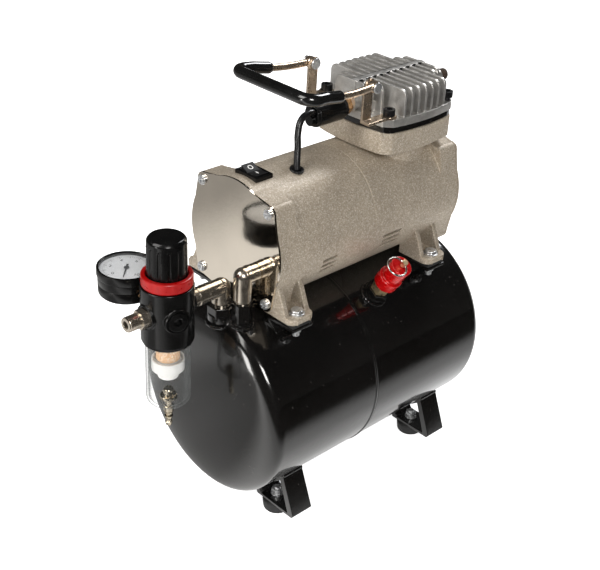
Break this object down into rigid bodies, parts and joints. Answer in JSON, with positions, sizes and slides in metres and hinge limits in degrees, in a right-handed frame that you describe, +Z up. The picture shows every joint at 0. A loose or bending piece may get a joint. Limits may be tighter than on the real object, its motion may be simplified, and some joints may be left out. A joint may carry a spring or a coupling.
{
  "type": "air compressor",
  "caption": "Small air compressor: motor and finned piston pump on a horizontal tank with strap legs, swing handle, filter regulator, gauge and safety valve.",
  "frame": {"origin": "on the ground under the middle of the object", "axes": "+Z up, +X to the safety valve side (width), -Y to the regulator end, +Y to the tank's rear end"},
  "size_m": [0.1504, 0.3, 0.3207],
  "materials": {
    "black_paint": "gloss",
    "silver_casting": "satin sparkle",
    "polished_plate": "polished",
    "raw_aluminium": "cast",
    "zinc": "satin",
    "nickel": "satin",
    "brass": "satin",
    "black_rubber": "matte",
    "black_plastic": "gloss",
    "red_plastic": "satin",
    "red_paint": "gloss",
    "steel": "machined",
    "black_steel": "oxide",
    "copper_wire": "lacquered",
    "clear_plastic": "clear",
    "white_plastic": "satin",
    "bronze_filter": "sintered",
    "cup_seal": "matte"
  },
  "bodies": {
    "root": {"tank_front_shell": "black_paint", "tank_rear_shell": "black_paint", "tank_bungs": "black_paint", "front_leg": "black_paint", "rear_leg": "black_paint", "rubber_feet": "black_rubber", "foot_bolts": "zinc", "motor_cradles": "black_paint", "cradle_pads": "black_rubber", "motor_foot_bolts": "zinc", "motor_housing": "silver_casting", "crankcase": "silver_casting", "front_cover": "polished_plate", "rear_cover": "silver_casting", "cover_screws": "zinc", "shaft_bearings": "steel", "stator_core": "steel", "stator_windings": "copper_wire", "cylinder_sleeve": "steel", "valve_plate": "black_paint", "cylinder_head": "raw_aluminium", "head_bolts": "black_steel", "intake_filter": "bronze_filter", "pressure_switch": "black_plastic", "switch_nipple": "brass", "switch_cable": "black_rubber", "cable_grommet": "black_rubber", "rocker_frame": "black_plastic", "handle_brackets": "nickel", "handle_pivots": "zinc", "inlet_elbow": "nickel", "outlet_elbow": "nickel", "safety_valve_body": "brass", "safety_valve_cap": "red_paint", "regulator_body": "black_plastic", "panel_ring": "red_plastic", "filter_bowl": "clear_plastic", "filter_element": "bronze_filter", "filter_baffle": "white_plastic", "outlet_fitting": "zinc", "port_plug": "black_plastic", "gauge_case": "black_plastic", "gauge_dial": "white_plastic", "gauge_lens": "clear_plastic"},
    "rotor_group": {"rotor": "steel", "motor_shaft": "steel", "cooling_fan": "black_plastic", "crank_eccentric": "steel"},
    "rod_group": {"piston_rod": "steel", "piston_cup": "cup_seal"},
    "handle": {"handle_bail": "nickel", "handle_grip": "black_rubber"},
    "rocker": {"rocker_button": "black_plastic"},
    "regulator_screw": {"adjusting_screw": "steel"},
    "knob": {"regulator_knob": "black_plastic"},
    "needle": {"gauge_needle": "black_plastic"},
    "drain_valve": {"bowl_drain": "brass"},
    "valve_stem": {"safety_valve_stem": "brass"},
    "ring": {"pull_ring": "steel"},
    "tank_drain": {"drain_screw": "brass"}
  },
  "joints": [
    {"name": "rotor_spin", "type": "hinge", "parent": "root", "child": "rotor_group", "pos_m": [0, 0.0865, 0.213], "axis": [0, 1, 0], "continuous": true},
    {"name": "rod_orbit", "type": "hinge", "parent": "rotor_group", "child": "rod_group", "pos_m": [0, 0.0865, 0.217], "axis": [0, 1, 0], "continuous": true, "deforming": ["piston_cup"]},
    {"name": "handle_swing", "type": "hinge", "parent": "root", "child": "handle", "pos_m": [0, 0.0384, 0.311], "axis": [-1, 0, 0], "range_deg": [-28, 85]},
    {"name": "rocker_tilt", "type": "hinge", "parent": "root", "child": "rocker", "pos_m": [0, -0.038, 0.2589], "axis": [0, 1, 0], "range_deg": [-18, 0]},
    {"name": "knob_turn", "type": "hinge", "parent": "root", "child": "regulator_screw", "pos_m": [0.01, -0.1175, 0.21], "axis": [0, 0, 1], "range_deg": [0, 1080]},
    {"name": "knob_lift", "type": "slide", "parent": "regulator_screw", "child": "knob", "axis": [0, 0, 1], "range_m": [0, 0.003]},
    {"name": "needle_sweep", "type": "hinge", "parent": "root", "child": "needle", "pos_m": [-0.034, -0.1175, 0.1995], "axis": [0, 0, -1], "range_deg": [0, 270]},
    {"name": "drain_push", "type": "slide", "parent": "root", "child": "drain_valve", "axis": [0, 0, 1], "range_m": [0, 0.0025], "stiffness_N_per_m": 400, "springref_m": -0.002},
    {"name": "valve_lift", "type": "slide", "parent": "root", "child": "valve_stem", "axis": [0.5736, 0, 0.8192], "range_m": [0, 0.0025], "stiffness_N_per_m": 600, "springref_m": -0.002},
    {"name": "ring_swing", "type": "hinge", "parent": "valve_stem", "child": "ring", "pos_m": [0.06814, 0.0435, 0.19232], "axis": [-0.8192, 0, 0.5736], "range_deg": [0, 180]},
    {"name": "drain_turn", "type": "hinge", "parent": "root", "child": "tank_drain", "pos_m": [0, 0.06, 0.012], "axis": [0, 0, 1], "range_deg": [0, 720]}
  ],
  "couplings": [
    {"joint": "rod_orbit", "follows": "rotor_spin", "ratio": -1}
  ]
}
